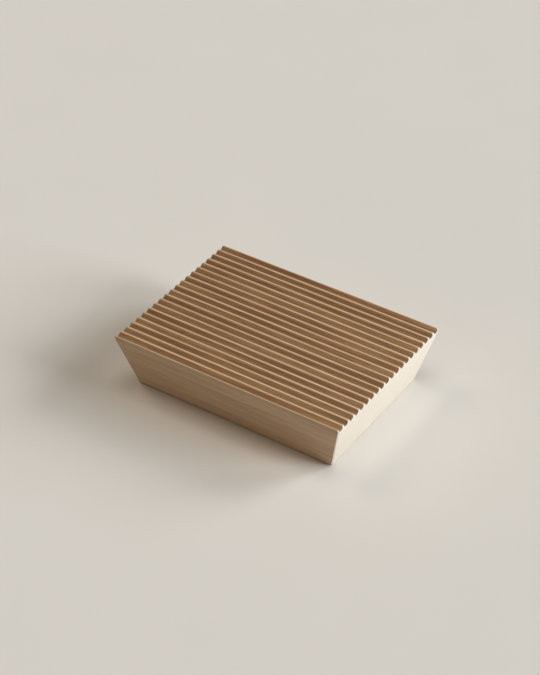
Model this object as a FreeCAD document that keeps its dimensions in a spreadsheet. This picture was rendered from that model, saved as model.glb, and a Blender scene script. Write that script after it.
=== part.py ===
import FreeCAD, Part
import os

import Sketcher

# Ribbed soap dish: one block of pale hardwood on a smaller base.
# The four sides stand upright over a narrow rim and lean in below it down to the base.
# Round-bottomed flutes are milled side by side along the whole top and run out through both ends,
# so that water drains off and the soap stands on the narrow lands between them.
# The origin is the middle of the underside, X runs along the flutes and Z points up.

# Driving sizes in millimetres, angles in degrees and plain shares: (alias, value, what it measures).
SIZES = [
    ("top_length", 125.0, "length of the top, along the flutes"),
    ("top_width", 90.0, "width of the top, across the flutes"),
    ("block_height", 30.0, "height from the underside to the lands"),
    ("rim_height", 2.5, "height of the upright rim above the leaning sides"),
    ("lean_angle", 15.0, "lean of the four sides from upright"),
    ("corner_radius", 0.8, "rounding of the four corner edges"),
    ("base_bevel", 0.7, "bevel round the underside"),
    ("flute_width", 3.6, "width of a flute at the lands"),
    ("flute_depth", 1.6, "depth of a flute below the lands"),
    ("land_width", 0.9, "width of the land between two flutes"),
    ("cut_overrun", 2.0, "how far a cut runs past the wood"),
    ("count_slack_share", 0.001, "share of a pitch that the width may lack for the last flute"),
]

# Sizes worked out from the driving ones: (alias, formula).
DERIVED = [
    ("flute_pitch", "flute_width + land_width"),
    ("flute_count", "floor(top_width / flute_pitch + count_slack_share)"),
    ("first_flute", "(flute_count - 1) * flute_pitch / 2"),
    ("flute_radius", "(flute_width * flute_width / 4 + flute_depth * flute_depth) / (2 * flute_depth)"),
    ("rim_level", "block_height - rim_height"),
    ("base_run", "(rim_level - base_bevel) * tan(lean_angle * 1 deg)"),
    ("base_length", "top_length - 2 * base_run"),
    ("base_width", "top_width - 2 * base_run"),
    ("foot_length", "base_length - 2 * base_bevel"),
    ("foot_width", "base_width - 2 * base_bevel"),
]

START, END, CENTRE = 1, 2, 3
ORIGIN = (-1, 1)
SHEET = "Sizes"


def sized(alias):
    """Return the expression that reads one size from the sheet."""
    return f"{SHEET}.{alias}"


def make_sheet(doc):
    """Make the spreadsheet of sizes, each cell with its alias."""
    sheet = doc.addObject("Spreadsheet::Sheet", SHEET)
    rows = [(alias, str(value), note) for alias, value, note in SIZES]
    rows += [(alias, f"={formula}", "worked out") for alias, formula in DERIVED]
    for row, (alias, content, note) in enumerate(rows, start=1):
        sheet.set(f"A{row}", note)
        sheet.set(f"B{row}", content)
        sheet.setAlias(f"B{row}", alias)
    doc.recompute()
    return sheet


def origin_feature(body, role):
    """Return the body's own plane or axis with the given role."""
    return next(item for item in body.Origin.OriginFeatures if item.Role == role)


def new_sketch(body, name, plane, level=None):
    """Make a sketch on one of the body's planes, lifted to a named level if one is given."""
    sketch = body.newObject("Sketcher::SketchObject", name)
    sketch.AttachmentSupport = [(origin_feature(body, plane), "")]
    sketch.MapMode = "FlatFace"
    if level:
        sketch.setExpression(".AttachmentOffset.Base.z", sized(level))
    return sketch


def bind(sketch, kind, refs, alias, sheet):
    """Add a dimension to the sketch and bind it to a size of the sheet."""
    index = sketch.addConstraint(Sketcher.Constraint(kind, *refs, float(sheet.get(alias))))
    sketch.setExpression(f"Constraints[{index}]", sized(alias))


def rounded_outline(body, sheet, name, length, width, level=None):
    """Draw a centred rectangle with rounded corners at a named level."""
    sketch = new_sketch(body, name, "XY_Plane", level)
    x = float(sheet.get(length)) / 2
    y = float(sheet.get(width)) / 2
    r = float(sheet.get("corner_radius"))
    corners = [(x, y), (-x, y), (-x, -y), (x, -y)]
    sides, arcs = [], []
    for turn, (px, py) in enumerate(corners):
        qx, qy = corners[(turn + 1) % len(corners)]
        step = FreeCAD.Vector(qx - px, qy - py, 0).normalize() * r
        begin = FreeCAD.Vector(px, py, 0) + step
        finish = FreeCAD.Vector(qx, qy, 0) - step
        sides.append(sketch.addGeometry(Part.LineSegment(begin, finish), False))
    for turn, (px, py) in enumerate(corners):
        before = sketch.Geometry[sides[turn - 1]].EndPoint
        after = sketch.Geometry[sides[turn]].StartPoint
        centre = before + after - FreeCAD.Vector(px, py, 0)
        middle = centre + (FreeCAD.Vector(px, py, 0) - centre).normalize() * r
        arcs.append(sketch.addGeometry(Part.Arc(before, middle, after), False))
    for turn, arc in enumerate(arcs):
        sketch.addConstraint(Sketcher.Constraint("Tangent", sides[turn - 1], END, arc, START))
        sketch.addConstraint(Sketcher.Constraint("Tangent", arc, END, sides[turn], START))
    top, left, bottom, right = sides
    for side in (top, bottom):
        sketch.addConstraint(Sketcher.Constraint("Horizontal", side))
    for side in (left, right):
        sketch.addConstraint(Sketcher.Constraint("Vertical", side))
    for arc in arcs[1:]:
        sketch.addConstraint(Sketcher.Constraint("Equal", arcs[0], arc))
    sketch.addConstraint(Sketcher.Constraint("Symmetric", top, START, bottom, START, *ORIGIN))
    bind(sketch, "Radius", (arcs[0],), "corner_radius", sheet)
    bind(sketch, "DistanceX", (left, START, right, START), length, sheet)
    bind(sketch, "DistanceY", (bottom, START, top, START), width, sheet)
    return sketch


def flute_outline(body, sheet):
    """Draw the section of the front flute: a round bottom below the lands, open to the air above."""
    sketch = new_sketch(body, "flute_outline", "YZ_Plane")
    size = {alias: float(sheet.get(alias)) for alias, _ in DERIVED}
    size.update({alias: float(sheet.get(alias)) for alias, _, _ in SIZES})
    centre = -size["first_flute"]
    front = centre - size["flute_width"] / 2
    rear = centre + size["flute_width"] / 2
    land = size["block_height"]
    above = land + size["cut_overrun"]
    a = FreeCAD.Vector(front, land, 0)
    b = FreeCAD.Vector(rear, land, 0)
    c = FreeCAD.Vector(rear, above, 0)
    d = FreeCAD.Vector(front, above, 0)
    lowest = FreeCAD.Vector(centre, land - size["flute_depth"], 0)
    bottom = sketch.addGeometry(Part.Arc(a, lowest, b), False)
    rear_side = sketch.addGeometry(Part.LineSegment(b, c), False)
    lid = sketch.addGeometry(Part.LineSegment(c, d), False)
    front_side = sketch.addGeometry(Part.LineSegment(d, a), False)
    first, last = (START, END) if sketch.Geometry[bottom].StartPoint.x < centre else (END, START)
    sketch.addConstraint(Sketcher.Constraint("Coincident", bottom, last, rear_side, START))
    sketch.addConstraint(Sketcher.Constraint("Coincident", rear_side, END, lid, START))
    sketch.addConstraint(Sketcher.Constraint("Coincident", lid, END, front_side, START))
    sketch.addConstraint(Sketcher.Constraint("Coincident", front_side, END, bottom, first))
    sketch.addConstraint(Sketcher.Constraint("Vertical", rear_side))
    sketch.addConstraint(Sketcher.Constraint("Vertical", front_side))
    sketch.addConstraint(Sketcher.Constraint("Horizontal", lid))
    sketch.addConstraint(Sketcher.Constraint("Horizontal", bottom, first, bottom, last))
    bind(sketch, "Radius", (bottom,), "flute_radius", sheet)
    bind(sketch, "DistanceX", (bottom, first, bottom, last), "flute_width", sheet)
    bind(sketch, "DistanceX", (bottom, CENTRE, *ORIGIN), "first_flute", sheet)
    bind(sketch, "DistanceY", (*ORIGIN, bottom, first), "block_height", sheet)
    bind(sketch, "DistanceY", (rear_side, START, rear_side, END), "cut_overrun", sheet)
    return sketch


def make_block(doc, sheet):
    """Build the dish: the leaning block, its upright rim and the row of flutes along the top."""
    body = doc.addObject("PartDesign::Body", "dish_block")
    body.Label = "dish_block"
    foot = rounded_outline(body, sheet, "foot_outline", "foot_length", "foot_width")
    base = rounded_outline(body, sheet, "base_outline", "base_length", "base_width", "base_bevel")
    rim = rounded_outline(body, sheet, "rim_outline", "top_length", "top_width", "rim_level")
    doc.recompute()

    leaning = body.newObject("PartDesign::AdditiveLoft", "leaning_sides")
    leaning.Profile = foot
    leaning.Sections = [base, rim]
    leaning.Ruled = True
    doc.recompute()

    upright = body.newObject("PartDesign::Pad", "upright_rim")
    upright.Profile = rim
    upright.setExpression("Length", sized("rim_height"))
    doc.recompute()

    flute = body.newObject("PartDesign::Pocket", "flute")
    flute.Profile = flute_outline(body, sheet)
    flute.Midplane = True
    flute.setExpression("Length", f"{sized('top_length')} + 2 * {sized('cut_overrun')}")
    doc.recompute()

    row = body.newObject("PartDesign::LinearPattern", "flute_row")
    row.Originals = [flute]
    row.Direction = (origin_feature(body, "Y_Axis"), [""])
    row.setExpression("Length", f"({sized('flute_count')} - 1) * {sized('flute_pitch')}")
    row.setExpression("Occurrences", sized("flute_count"))
    body.Tip = row
    doc.recompute()
    return body


def check(doc, pieces):
    """Stop if any object of the document failed or any piece is not one valid solid."""
    for item in doc.Objects:
        if "Invalid" in item.State or "Error" in item.State:
            raise RuntimeError(f"{item.Name} failed: {item.State}")
    for piece in pieces:
        shape = piece.Shape
        if shape.isNull() or not shape.isValid() or len(shape.Solids) != 1:
            raise RuntimeError(f"{piece.Label} is not one valid solid")


def main():
    """Build the dish and write its solid."""
    doc = FreeCAD.newDocument("soap_dish")
    sheet = make_sheet(doc)
    pieces = [make_block(doc, sheet)]
    doc.recompute()
    check(doc, pieces)
    os.makedirs("parts", exist_ok=True)
    for piece in pieces:
        piece.Shape.exportStep(os.path.join("parts", f"{piece.Label}.step"))
        box = piece.Shape.BoundBox
        print(f"{piece.Label}: {box.XLength:.2f} x {box.YLength:.2f} x {box.ZLength:.2f} mm,"
              f" {piece.Shape.Volume:.0f} mm3, {len(piece.Shape.Faces)} faces")


main()
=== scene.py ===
"""A ribbed wooden soap dish, dressed for its picture.

The dish is one block of pale, close-grained hardwood with a row of round-bottomed flutes along its top.
It is modelled again over the frame's plain solid, with every arris eased, and takes that solid's place.
Lengths are in metres. X runs along the flutes, Z points up, and the origin is the middle of the underside.
"""

from __future__ import annotations

import logging
import math
from collections.abc import Callable
from dataclasses import dataclass, field
from enum import Enum
from typing import Any

import bmesh
import bpy
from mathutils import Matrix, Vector

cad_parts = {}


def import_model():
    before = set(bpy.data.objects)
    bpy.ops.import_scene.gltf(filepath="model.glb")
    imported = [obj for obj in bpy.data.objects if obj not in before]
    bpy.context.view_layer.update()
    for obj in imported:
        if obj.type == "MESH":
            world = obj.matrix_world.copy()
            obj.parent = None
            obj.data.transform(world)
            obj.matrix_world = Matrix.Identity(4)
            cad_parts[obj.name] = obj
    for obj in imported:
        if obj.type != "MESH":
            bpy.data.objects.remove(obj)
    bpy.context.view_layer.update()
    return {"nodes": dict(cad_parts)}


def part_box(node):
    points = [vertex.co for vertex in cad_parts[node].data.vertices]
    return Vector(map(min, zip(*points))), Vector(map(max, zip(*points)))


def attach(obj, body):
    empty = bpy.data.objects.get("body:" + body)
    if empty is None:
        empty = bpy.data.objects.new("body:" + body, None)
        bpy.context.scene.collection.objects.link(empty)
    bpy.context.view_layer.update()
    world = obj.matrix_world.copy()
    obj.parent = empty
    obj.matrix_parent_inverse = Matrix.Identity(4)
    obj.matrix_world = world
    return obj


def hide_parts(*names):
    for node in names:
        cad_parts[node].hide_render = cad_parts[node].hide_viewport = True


MM = 0.001
IMAGE_HEIGHT = 675

# The Wave texture multiplies its scaled coordinate by 20 before it takes the wave.
WAVE_FREQUENCY = 20
# The Mix node's sockets when it mixes colours.
MIX_SHARE, MIX_FIRST, MIX_SECOND, MIX_RESULT = 0, 6, 7, 2

COOL_LIGHT = "#F1F7FF"
WARM_LIGHT = "#FFEEDA"

Span = tuple[float, float]

log = logging.getLogger("soap_dish")


class Element(Enum):
    """The kind of mesh element that a selection picks."""

    VERTEX = "VERT"
    EDGE = "EDGE"


class Cut(Enum):
    """How the wood was cut at a face, in the order of the block's material slots."""

    LONG_GRAIN = 0
    END_GRAIN = 1
    FLUTE = 2
    LAND = 3


def linear(hex_colour: str) -> tuple[float, float, float, float]:
    """Turn an sRGB hex colour into linear light.

    Args:
        hex_colour: A colour such as "#D9BC97".

    Returns:
        Linear red, green and blue, with an alpha of 1.
    """
    coded = [int(hex_colour[start : start + 2], 16) / 255 for start in (1, 3, 5)]
    red, green, blue = (c / 12.92 if c <= 0.04045 else ((c + 0.055) / 1.055) ** 2.4 for c in coded)
    return red, green, blue, 1.0


def add_node(
    tree: bpy.types.NodeTree,
    kind: str,
    settings: dict[str, Any] | None = None,
    inputs: dict[str | int, Any] | None = None,
) -> bpy.types.Node:
    """Add a node with its settings, and set or link its inputs.

    Args:
        tree: The node tree that gets the node.
        kind: The node's type name.
        settings: Values for the node's own properties.
        inputs: A value or another node's output for each named or numbered input.

    Returns:
        The new node.
    """
    node = tree.nodes.new(kind)
    for name, value in (settings or {}).items():
        setattr(node, name, value)
    for socket, value in (inputs or {}).items():
        if isinstance(value, bpy.types.NodeSocket):
            tree.links.new(value, node.inputs[socket])
        else:
            node.inputs[socket].default_value = value
    return node


def new_material(name: str) -> tuple[bpy.types.Material, bpy.types.NodeTree, bpy.types.Node]:
    """Start a material with an empty Principled shader.

    Args:
        name: The finish's plain name.

    Returns:
        The material, its node tree and its Principled node.
    """
    material = bpy.data.materials.new(name)
    material.use_nodes = True
    tree = material.node_tree
    tree.nodes.clear()
    shader = add_node(tree, "ShaderNodeBsdfPrincipled")
    add_node(tree, "ShaderNodeOutputMaterial", inputs={"Surface": shader.outputs["BSDF"]})
    return material, tree, shader


def blend_by(
    tree: bpy.types.NodeTree,
    value: bpy.types.NodeSocket,
    span: Span,
    colours: tuple[Any, Any],
    most: float = 1.0,
    blend_type: str = "MIX",
) -> bpy.types.NodeSocket:
    """Blend smoothly from one colour to another as a value goes through a span.

    Args:
        tree: The material's node tree.
        value: The value that steers the blend.
        span: The values at which the blend starts and ends.
        colours: The first and second colour, each a linear colour or a node's output.
        most: The second colour's largest share.
        blend_type: How the second colour joins the first.

    Returns:
        The blended colour.
    """
    share = add_node(
        tree,
        "ShaderNodeMapRange",
        {"interpolation_type": "SMOOTHSTEP"},
        {"Value": value, "From Min": span[0], "From Max": span[1], "To Max": most},
    )
    mixed = add_node(
        tree,
        "ShaderNodeMix",
        {"data_type": "RGBA", "blend_type": blend_type},
        {MIX_SHARE: share.outputs["Result"], MIX_FIRST: colours[0], MIX_SECOND: colours[1]},
    )
    return mixed.outputs[MIX_RESULT]


def wave_scale(spacing: float) -> float:
    """Give the Wave texture's scale for waves that lie a spacing apart."""
    return 2 * math.pi / (WAVE_FREQUENCY * spacing)


def select_where(piece: bpy.types.Object, element: Element, test: Callable[[Any], bool]) -> None:
    """Select, in edit mode, the mesh elements that pass a test and nothing else.

    Args:
        piece: The object in edit mode.
        element: The kind of element to select.
        test: Says whether one element is wanted.
    """
    bpy.ops.mesh.select_mode(type=element.value)
    bpy.ops.mesh.select_all(action="DESELECT")
    shape = bmesh.from_edit_mesh(piece.data)
    every = {Element.VERTEX: shape.verts, Element.EDGE: shape.edges}
    for item in every[element]:
        if test(item):
            item.select_set(True)
    shape.select_flush_mode()
    bmesh.update_edit_mesh(piece.data)


def select_only(piece: bpy.types.Object) -> None:
    """Make one object the selected and active one."""
    bpy.ops.object.select_all(action="DESELECT")
    piece.select_set(True)
    bpy.context.view_layer.objects.active = piece


def apply_modifier(piece: bpy.types.Object, kind: str, settings: dict[str, Any]) -> None:
    """Add a modifier to a piece and apply it at once.

    Args:
        piece: The object to change.
        kind: The modifier's type.
        settings: Values for the modifier's properties.
    """
    select_only(piece)
    modifier = piece.modifiers.new(kind.lower(), kind)
    for name, value in settings.items():
        setattr(modifier, name, value)
    bpy.ops.object.modifier_apply(modifier=modifier.name)


@dataclass(frozen=True)
class GrowthRings:
    """The tree's yearly rings: cylinders about a pith line under the block, parallel to the flutes."""

    pith_y: float = 48 * MM
    pith_z: float = -135 * MM
    spacing: float = 2.7 * MM
    waver: float = 5.0
    waver_detail: float = 2.0
    waver_scale: float = 0.45
    run_out: float = 0.12

    def pattern(self, tree: bpy.types.NodeTree, place: bpy.types.NodeSocket) -> bpy.types.NodeSocket:
        """Add the rings to a material.

        Args:
            tree: The material's node tree.
            place: The Object coordinates.

        Returns:
            A value that climbs from 0 in early wood to 1 in late wood.
        """
        from_pith = add_node(
            tree,
            "ShaderNodeMapping",
            inputs={
                "Vector": place,
                "Location": (0.0, -self.pith_y, -self.pith_z),
                "Scale": (self.run_out, 1.0, 1.0),
            },
        )
        rings = add_node(
            tree,
            "ShaderNodeTexWave",
            {"wave_type": "RINGS", "rings_direction": "X", "wave_profile": "SAW"},
            {
                "Vector": from_pith.outputs["Vector"],
                "Scale": wave_scale(self.spacing),
                "Distortion": self.waver,
                "Detail": self.waver_detail,
                "Detail Scale": self.waver_scale,
            },
        )
        return rings.outputs["Fac"]


@dataclass(frozen=True)
class Streak:
    """Fibres seen lengthwise: a noise drawn out along the grain."""

    length: float
    width: float
    detail: float = 3.0

    def pattern(self, tree: bpy.types.NodeTree, place: bpy.types.NodeSocket) -> bpy.types.NodeSocket:
        """Add the streaks to a material.

        Args:
            tree: The material's node tree.
            place: The Object coordinates.

        Returns:
            A value between 0 and 1, mostly near a half.
        """
        drawn_out = add_node(
            tree,
            "ShaderNodeMapping",
            inputs={"Vector": place, "Scale": (1 / self.length, 1 / self.width, 1 / self.width)},
        )
        noise = add_node(
            tree,
            "ShaderNodeTexNoise",
            inputs={"Vector": drawn_out.outputs["Vector"], "Scale": 1.0, "Detail": self.detail},
        )
        return noise.outputs["Fac"]


@dataclass(frozen=True)
class WoodSurface:
    """How bare wood takes the light: its roughness and its fine relief."""

    roughness: Span
    relief: float
    relief_depth: float = 0.08 * MM
    # The middle part of a noise, over which the roughness goes from low to high.
    noise_span: Span = (0.3, 0.7)
    ior: float = 1.46

    def finish(
        self,
        tree: bpy.types.NodeTree,
        shader: bpy.types.Node,
        colour: bpy.types.NodeSocket,
        noise: bpy.types.NodeSocket,
        height: bpy.types.NodeSocket,
    ) -> None:
        """Give a material's shader its colour, roughness and relief.

        Args:
            tree: The material's node tree.
            shader: The material's Principled node.
            colour: The finished colour.
            noise: The noise that the roughness follows.
            height: The height of the relief.
        """
        sheen = add_node(
            tree,
            "ShaderNodeMapRange",
            inputs={
                "Value": noise,
                "From Min": self.noise_span[0],
                "From Max": self.noise_span[1],
                "To Min": self.roughness[0],
                "To Max": self.roughness[1],
            },
        )
        bump = add_node(
            tree,
            "ShaderNodeBump",
            inputs={"Height": height, "Strength": self.relief, "Distance": self.relief_depth},
        )
        tree.links.new(colour, shader.inputs["Base Color"])
        tree.links.new(sheen.outputs["Result"], shader.inputs["Roughness"])
        tree.links.new(bump.outputs["Normal"], shader.inputs["Normal"])
        shader.inputs["IOR"].default_value = self.ior


@dataclass(frozen=True)
class SandedLongGrain:
    """Maple planed along the grain and sanded: soft streaks and rings, fine pores, a dry low sheen."""

    name: str = "sanded_maple_long_grain"
    pale: str = "#BDA488"
    dark: str = "#AE8F73"
    fleck: str = "#9C7959"
    rings: GrowthRings = field(default_factory=GrowthRings)
    streak: Streak = field(default_factory=lambda: Streak(60 * MM, 3.4 * MM))
    # Real fibres are about 0.1 mm wide, under a pixel, so these are drawn five times as coarse.
    fibre: Streak = field(default_factory=lambda: Streak(6 * MM, 0.5 * MM, 2.0))
    ring_weight: float = 0.16
    band_span: Span = (0.34, 0.84)
    fleck_span: Span = (0.56, 0.78)
    fleck_share: float = 0.5
    surface: WoodSurface = field(default_factory=lambda: WoodSurface((0.52, 0.68), 0.25))

    def material(self) -> bpy.types.Material:
        """Build the finish.

        Returns:
            The material, streaked along X.
        """
        material, tree, shader = new_material(self.name)
        place = add_node(tree, "ShaderNodeTexCoord").outputs["Object"]
        rings = self.rings.pattern(tree, place)
        streak = self.streak.pattern(tree, place)
        fibre = self.fibre.pattern(tree, place)
        band = add_node(
            tree,
            "ShaderNodeMath",
            {"operation": "MULTIPLY_ADD"},
            {0: rings, 1: self.ring_weight, 2: streak},
        )
        tone = blend_by(tree, band.outputs[0], self.band_span, (linear(self.pale), linear(self.dark)))
        flecked = blend_by(tree, fibre, self.fleck_span, (tone, linear(self.fleck)), self.fleck_share)
        self.surface.finish(tree, shader, flecked, fibre, fibre)
        return material


@dataclass(frozen=True)
class SandedEndGrain:
    """Maple sawn across the grain and sanded: chalkier than the sides and painted paler as a highlight of
    the strongly lit ends, with fine pores and arcs of rings.
    """

    # These pale tones are partly a painted highlight that stands for the strong light on the ends.
    pale: str = "#E0D7C8"
    dark: str = "#D5C6B1"
    pore_colour: str = "#BEA78A"
    # Real pores are about 0.08 mm across, under a pixel, so these are drawn several times as coarse.
    pore_size: float = 0.45 * MM
    pore_detail: float = 2.0
    pore_span: Span = (0.54, 0.75)
    pore_share: float = 0.45
    rings: GrowthRings = field(default_factory=GrowthRings)
    ring_span: Span = (0.1, 1.0)
    ring_share: float = 0.55
    surface: WoodSurface = field(default_factory=lambda: WoodSurface((0.62, 0.76), 0.2))

    def material(self) -> bpy.types.Material:
        """Build the finish.

        Returns:
            The material, with its rings about the pith line.
        """
        material, tree, shader = new_material("sanded_maple_end_grain")
        place = add_node(tree, "ShaderNodeTexCoord").outputs["Object"]
        rings = self.rings.pattern(tree, place)
        tone = blend_by(tree, rings, self.ring_span, (linear(self.pale), linear(self.dark)), self.ring_share)
        noise = add_node(
            tree,
            "ShaderNodeTexNoise",
            inputs={"Vector": place, "Scale": 1 / self.pore_size, "Detail": self.pore_detail},
        )
        speckle = noise.outputs["Fac"]
        pored = blend_by(tree, speckle, self.pore_span, (tone, linear(self.pore_colour)), self.pore_share)
        self.surface.finish(tree, shader, pored, speckle, speckle)
        return material


@dataclass(frozen=True)
class MilledFlute:
    """Maple hollowed by a round-nosed cutter: streaky, with faint marks across, and painted shade that
    darkens it towards the flutes' bottoms.
    """

    # The flute's tones go with its painted shade: near the lands they are paler than the sides, as painted
    # light, and they darken towards the bottoms.
    pale: str = "#EDC697"
    dark: str = "#BE9368"
    fleck: str = "#A27A54"
    # Painted shade: this colour darkens the flutes from the lands down to their bottoms.
    hollow_shade: str = "#B3AAA0"
    # The cutter leaves one faint ridge across the flute at every feed step.
    feed_step: float = 1.3 * MM
    mark_waver: float = 7.0
    mark_detail: float = 3.0
    mark_scale: float = 0.9
    mark_weight: float = 0.08
    mark_height: float = 0.2
    rings: GrowthRings = field(default_factory=GrowthRings)
    streak: Streak = field(default_factory=lambda: Streak(38 * MM, 2.6 * MM))
    fibre: Streak = field(default_factory=lambda: Streak(5 * MM, 0.55 * MM, 2.0))
    ring_weight: float = 0.25
    band_span: Span = (0.38, 0.84)
    fleck_span: Span = (0.55, 0.78)
    fleck_share: float = 0.5
    surface: WoodSurface = field(default_factory=lambda: WoodSurface((0.58, 0.74), 0.3))

    def material(self, bottom: float, top: float) -> bpy.types.Material:
        """Build the finish.

        Args:
            bottom: The height of the flutes' bottoms.
            top: The height of the lands.

        Returns:
            The material, darkest at the bottom of the flutes.
        """
        material, tree, shader = new_material("milled_maple_flute")
        place = add_node(tree, "ShaderNodeTexCoord").outputs["Object"]
        rings = self.rings.pattern(tree, place)
        streak = self.streak.pattern(tree, place)
        fibre = self.fibre.pattern(tree, place)
        marks = add_node(
            tree,
            "ShaderNodeTexWave",
            {"wave_type": "BANDS", "bands_direction": "X", "wave_profile": "SIN"},
            {
                "Vector": place,
                "Scale": wave_scale(self.feed_step),
                "Distortion": self.mark_waver,
                "Detail": self.mark_detail,
                "Detail Scale": self.mark_scale,
            },
        )
        band = add_node(
            tree,
            "ShaderNodeMath",
            {"operation": "MULTIPLY_ADD"},
            {0: rings, 1: self.ring_weight, 2: streak},
        )
        marked = add_node(
            tree,
            "ShaderNodeMath",
            {"operation": "MULTIPLY_ADD"},
            {0: marks.outputs["Fac"], 1: self.mark_weight, 2: band.outputs[0]},
        )
        tone = blend_by(tree, marked.outputs[0], self.band_span, (linear(self.pale), linear(self.dark)))
        flecked = blend_by(tree, fibre, self.fleck_span, (tone, linear(self.fleck)), self.fleck_share)
        level = add_node(tree, "ShaderNodeSeparateXYZ", inputs={"Vector": place}).outputs["Z"]
        # Painted shade: the deeper a point lies in a flute, the darker it is.
        shaded_tone = blend_by(tree, level, (top, bottom), (flecked, linear(self.hollow_shade)), blend_type="MULTIPLY")
        height = add_node(
            tree,
            "ShaderNodeMath",
            {"operation": "MULTIPLY_ADD"},
            {0: marks.outputs["Fac"], 1: self.mark_height, 2: fibre},
        )
        self.surface.finish(tree, shader, shaded_tone, fibre, height.outputs[0])
        return material


@dataclass
class DishBlock:
    """The dish itself: a leaning-sided block with an upright rim and a row of flutes."""

    node: str = "dish_block"
    rim_height: float = 2.5 * MM
    lean_angle: float = math.radians(15)
    corner_radius: float = 0.8 * MM
    base_bevel: float = 0.7 * MM
    flute_width: float = 3.6 * MM
    flute_depth: float = 1.6 * MM
    land_width: float = 0.9 * MM
    end_round: float = 0.8 * MM
    arris: float = 0.08 * MM
    cut_overrun: float = 2.0 * MM
    flute_facets: int = 64
    corner_segments: int = 4
    arris_segments: int = 2
    # Edges sharper than the first angle are eased, and those sharper than the second stay crisp in shading.
    ease_angle: float = math.radians(32)
    crisp_angle: float = math.radians(35)
    # How far a face's normal points along X on an end, and up in a flute or on a land, at the least.
    end_facing: float = 0.5
    up_facing: float = 0.05
    # Part of a pitch that rounding may take off the width.
    count_slack: float = 0.001
    long_grain: SandedLongGrain = field(default_factory=SandedLongGrain)
    # The narrow lands are painted paler than the sides, as a highlight where the light catches them.
    land: SandedLongGrain = field(
        default_factory=lambda: SandedLongGrain("maple_land_painted_highlight", "#D9BC95", "#C6A47E", "#EDDEC0")
    )
    end_grain: SandedEndGrain = field(default_factory=SandedEndGrain)
    flute: MilledFlute = field(default_factory=MilledFlute)
    length: float = field(init=False)
    width: float = field(init=False)
    height: float = field(init=False)
    rim_level: float = field(init=False)
    pitch: float = field(init=False)
    flute_count: int = field(init=False)

    def __post_init__(self) -> None:
        """Take the outer sizes from the frame's own solid, and work out what follows from them."""
        low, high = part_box(self.node)
        self.length, self.width, self.height = high - low
        self.rim_level = self.height - self.rim_height
        self.pitch = self.flute_width + self.land_width
        self.flute_count = math.floor(self.width / self.pitch + self.count_slack)

    def shape_block(self) -> bpy.types.Object:
        """Shape the uncut block from a cube.

        Returns:
            The block with its lean, rim, round corners and eased foot.
        """
        bpy.ops.object.select_all(action="DESELECT")
        bpy.ops.mesh.primitive_cube_add(size=1.0, enter_editmode=True)
        block = bpy.context.object
        block.name = block.data.name = "fluted_block"
        middle = (0.0, 0.0, 0.0)
        bpy.ops.transform.resize(value=(self.length, self.width, self.height), center_override=middle)
        bpy.ops.transform.translate(value=(0.0, 0.0, self.height / 2))
        bpy.ops.mesh.bisect(plane_co=(0.0, 0.0, self.rim_level), plane_no=(0.0, 0.0, 1.0))
        select_where(block, Element.VERTEX, lambda v: v.co.z < self.base_bevel)
        run = self.rim_level * math.tan(self.lean_angle)
        foot = (1 - 2 * run / self.length, 1 - 2 * run / self.width, 1.0)
        bpy.ops.transform.resize(value=foot, center_override=middle)
        select_where(block, Element.EDGE, self.is_top_end)
        bpy.ops.mesh.bevel(offset=self.end_round, segments=self.corner_segments)
        select_where(block, Element.EDGE, lambda e: abs(e.verts[0].co.z - e.verts[1].co.z) > self.base_bevel)
        bpy.ops.mesh.bevel(offset=self.corner_radius, segments=self.corner_segments)
        select_where(block, Element.EDGE, lambda e: max(v.co.z for v in e.verts) < self.base_bevel)
        bpy.ops.mesh.bevel(offset=self.base_bevel, segments=self.arris_segments)
        bpy.ops.object.mode_set(mode="OBJECT")
        return block

    def is_top_end(self, edge: bmesh.types.BMEdge) -> bool:
        """Find the edges across the ends of the top, where sanding rounds the ridges off.

        Args:
            edge: An edge of the block before its corners are rounded.

        Returns:
            Whether the edge is one of them.
        """
        first, second = (v.co for v in edge.verts)
        on_top = min(first.z, second.z) > self.height - self.arris
        return on_top and abs(first.x + second.x) > self.length - 2 * self.corner_radius

    def shape_cutter(self) -> bpy.types.Object:
        """Shape the row of round cutters.

        Returns:
            One mesh with a rod where each flute goes.
        """
        radius = (self.flute_width**2 / 4 + self.flute_depth**2) / (2 * self.flute_depth)
        first = -(self.flute_count - 1) * self.pitch / 2
        bpy.ops.object.select_all(action="DESELECT")
        bpy.ops.mesh.primitive_cylinder_add(
            vertices=self.flute_facets,
            radius=radius,
            depth=self.length + 2 * self.cut_overrun,
            location=(0.0, first, self.height - self.flute_depth + radius),
            rotation=(0.0, math.pi / 2, 0.0),
        )
        cutter = bpy.context.object
        bpy.ops.object.transform_apply(location=True, rotation=True, scale=True)
        row = {
            "count": self.flute_count,
            "use_relative_offset": False,
            "use_constant_offset": True,
            "constant_offset_displace": (0.0, self.pitch, 0.0),
        }
        apply_modifier(cutter, "ARRAY", row)
        return cutter

    def cut_flutes(self, block: bpy.types.Object) -> None:
        """Cut the flutes along the top and ease every arris.

        Args:
            block: The uncut block.
        """
        cutter = self.shape_cutter()
        apply_modifier(block, "BOOLEAN", {"operation": "DIFFERENCE", "solver": "EXACT", "object": cutter})
        bpy.data.objects.remove(cutter)
        ease = {
            "width": self.arris,
            "segments": self.arris_segments,
            "limit_method": "ANGLE",
            "angle_limit": self.ease_angle,
        }
        apply_modifier(block, "BEVEL", ease)
        select_only(block)
        bpy.ops.object.shade_smooth_by_angle(angle=self.crisp_angle)

    def cut_of(self, face: bpy.types.MeshPolygon) -> Cut:
        """Say which cut of the wood a face shows.

        Args:
            face: A face of the finished block.

        Returns:
            End grain on the two ends, flute in the hollows, land between them and long grain elsewhere.
        """
        if abs(face.normal.x) > self.end_facing:
            return Cut.END_GRAIN
        if face.normal.z < self.up_facing:
            return Cut.LONG_GRAIN
        return Cut.LAND if face.center.z > self.height - self.arris else Cut.FLUTE

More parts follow.
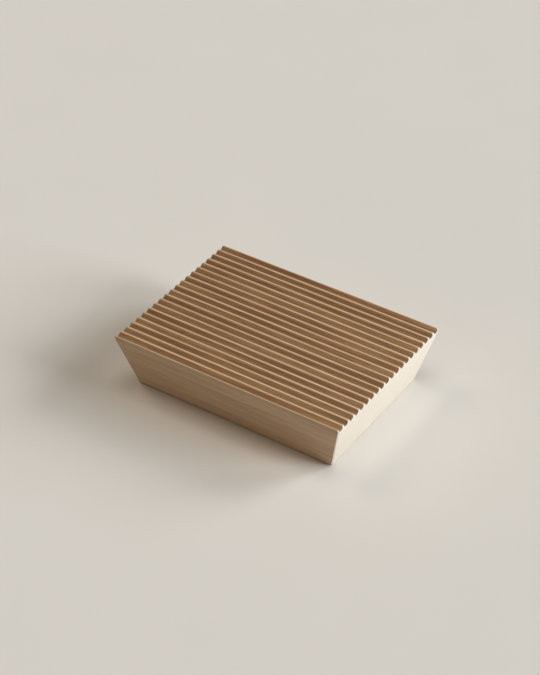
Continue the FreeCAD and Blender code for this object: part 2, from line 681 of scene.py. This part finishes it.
    def dress(self, block: bpy.types.Object) -> None:
        """Give each face the finish of its cut.

        Args:
            block: The finished block.
        """
        flute_bottom = self.height - self.flute_depth
        finishes = (
            self.long_grain.material(),
            self.end_grain.material(),
            self.flute.material(flute_bottom, self.height),
            self.land.material(),
        )
        for finish in finishes:
            block.data.materials.append(finish)
        for face in block.data.polygons:
            face.material_index = self.cut_of(face).value

    def build(self) -> bpy.types.Object:
        """Model and dress the block, and put it in the solid's place.

        Returns:
            The finished piece.
        """
        block = self.shape_block()
        self.cut_flutes(block)
        self.dress(block)
        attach(block, "root")
        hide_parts(self.node)
        return block


@dataclass(frozen=True)
class Softbox:
    """One square studio lamp that faces the dish from far off, so that it lights the floor evenly."""

    name: str
    azimuth: float
    elevation: float
    watts: float
    size: float = 9.6
    distance: float = 24.0
    colour: str = "#FFFFFF"

    def place(self) -> None:
        """Hang the lamp at its angles, in degrees, turned towards the origin."""
        turn = math.radians(self.azimuth)
        lift = math.radians(self.elevation)
        away = Vector((math.cos(turn) * math.cos(lift), math.sin(turn) * math.cos(lift), math.sin(lift)))
        bpy.ops.object.light_add(type="AREA", location=away * self.distance)
        lamp = bpy.context.object
        lamp.name = lamp.data.name = self.name
        lamp.rotation_euler = away.to_track_quat("Z", "Y").to_euler()
        lamp.data.shape = "SQUARE"
        lamp.data.size = self.size
        lamp.data.energy = self.watts
        lamp.data.color = linear(self.colour)[:3]


@dataclass
class Studio:
    """The pale floor, the soft lamps and the camera."""

    floor_size: float = 6.0
    floor_pale: str = "#E9E4DB"
    floor_dark: str = "#E5E0D6"
    floor_roughness: float = 0.9
    floor_specular: float = 0.2
    mottle: float = 60 * MM
    mottle_detail: float = 3.0
    azimuth: float = math.radians(33.613)
    elevation: float = math.radians(37.895)
    # The camera's place along its own right, up and back directions.
    camera_place: tuple[float, float, float] = (-3.25 * MM, 21.09 * MM, 895.95 * MM)
    focal_pixels: float = 1843.9
    clip_start: float = 10 * MM
    ambient: float = 0.004
    ambient_colour: str = "#FFEEDC"
    backdrop: str = "#D6D2CA"
    lamps: tuple[Softbox, ...] = (
        Softbox("key_low_right", 15, 12, 1080.0, colour=COOL_LIGHT),
        Softbox("key_right", 15, 22, 3330.0, colour=COOL_LIGHT),
        Softbox("key_back", 50, 25, 3600.0, colour=COOL_LIGHT),
        Softbox("overhead", 0, 88, 873.0),
        Softbox("fill_left", 180, 50, 1062.0, colour=WARM_LIGHT),
        Softbox("fill_front", -115, 68, 432.0, colour=WARM_LIGHT),
        Softbox("fill_low_front", -90, 8, 648.0, size=6.0, colour="#FFE8D0"),
    )

    def lay_floor(self) -> None:
        """Lay the pale floor under the dish."""
        bpy.ops.object.select_all(action="DESELECT")
        bpy.ops.mesh.primitive_plane_add(size=self.floor_size)
        floor = bpy.context.object
        floor.name = floor.data.name = "pale_floor"
        material, tree, shader = new_material("matt_paper")
        place = add_node(tree, "ShaderNodeTexCoord").outputs["Object"]
        mottle = add_node(
            tree,
            "ShaderNodeTexNoise",
            inputs={"Vector": place, "Scale": 1 / self.mottle, "Detail": self.mottle_detail},
        )
        tone = add_node(
            tree,
            "ShaderNodeMix",
            {"data_type": "RGBA"},
            {
                MIX_SHARE: mottle.outputs["Fac"],
                MIX_FIRST: linear(self.floor_pale),
                MIX_SECOND: linear(self.floor_dark),
            },
        )
        tree.links.new(tone.outputs[MIX_RESULT], shader.inputs["Base Color"])
        shader.inputs["Roughness"].default_value = self.floor_roughness
        shader.inputs["Specular IOR Level"].default_value = self.floor_specular
        floor.data.materials.append(material)

    def hang_lamps(self) -> None:
        """Hang the softboxes and set the dim room and its pale backdrop."""
        for lamp in self.lamps:
            lamp.place()
        world = bpy.data.worlds.new("studio_room")
        world.use_nodes = True
        tree = world.node_tree
        tree.nodes.clear()
        room = add_node(
            tree,
            "ShaderNodeBackground",
            inputs={"Color": linear(self.ambient_colour), "Strength": self.ambient},
        )
        backdrop = add_node(tree, "ShaderNodeBackground", inputs={"Color": linear(self.backdrop)})
        # The backdrop shows to the eye and in reflections, and the dim room lights the rest.
        rays = add_node(tree, "ShaderNodeLightPath").outputs
        seen = rays["Is Camera Ray"]
        for kind in ("Is Glossy Ray", "Is Transmission Ray"):
            either = add_node(tree, "ShaderNodeMath", {"operation": "MAXIMUM"}, {0: seen, 1: rays[kind]})
            seen = either.outputs[0]
        mixed = add_node(
            tree,
            "ShaderNodeMixShader",
            inputs={0: seen, 1: room.outputs["Background"], 2: backdrop.outputs["Background"]},
        )
        add_node(tree, "ShaderNodeOutputWorld", inputs={"Surface": mixed.outputs["Shader"]})
        bpy.context.scene.world = world

    def aim_camera(self) -> None:
        """Stand the camera where the photograph was taken from."""
        bpy.ops.object.camera_add(rotation=(math.pi / 2 - self.elevation, 0.0, self.azimuth))
        camera = bpy.context.object
        camera.name = camera.data.name = "camera"
        camera.location = camera.rotation_euler.to_matrix() @ Vector(self.camera_place)
        camera.data.lens = camera.data.sensor_width * self.focal_pixels / IMAGE_HEIGHT
        camera.data.clip_start = self.clip_start
        bpy.context.scene.camera = camera

    def build(self) -> None:
        """Set up the floor, the lamps, the camera and the view transform."""
        self.lay_floor()
        self.hang_lamps()
        self.aim_camera()
        bpy.context.scene.view_settings.view_transform = "Standard"


def main() -> None:
    """Load the frame, build each piece and report it."""
    logging.basicConfig(level=logging.INFO, format="%(name)s: %(message)s")
    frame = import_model()
    log.info("frame loaded with %d node(s)", len(frame["nodes"]))
    block = DishBlock().build()
    log.info("%s: %d faces, %d finishes", block.name, len(block.data.polygons), len(block.data.materials))
    Studio().build()
    log.info("studio set")


if __name__ == "__main__":
    main()
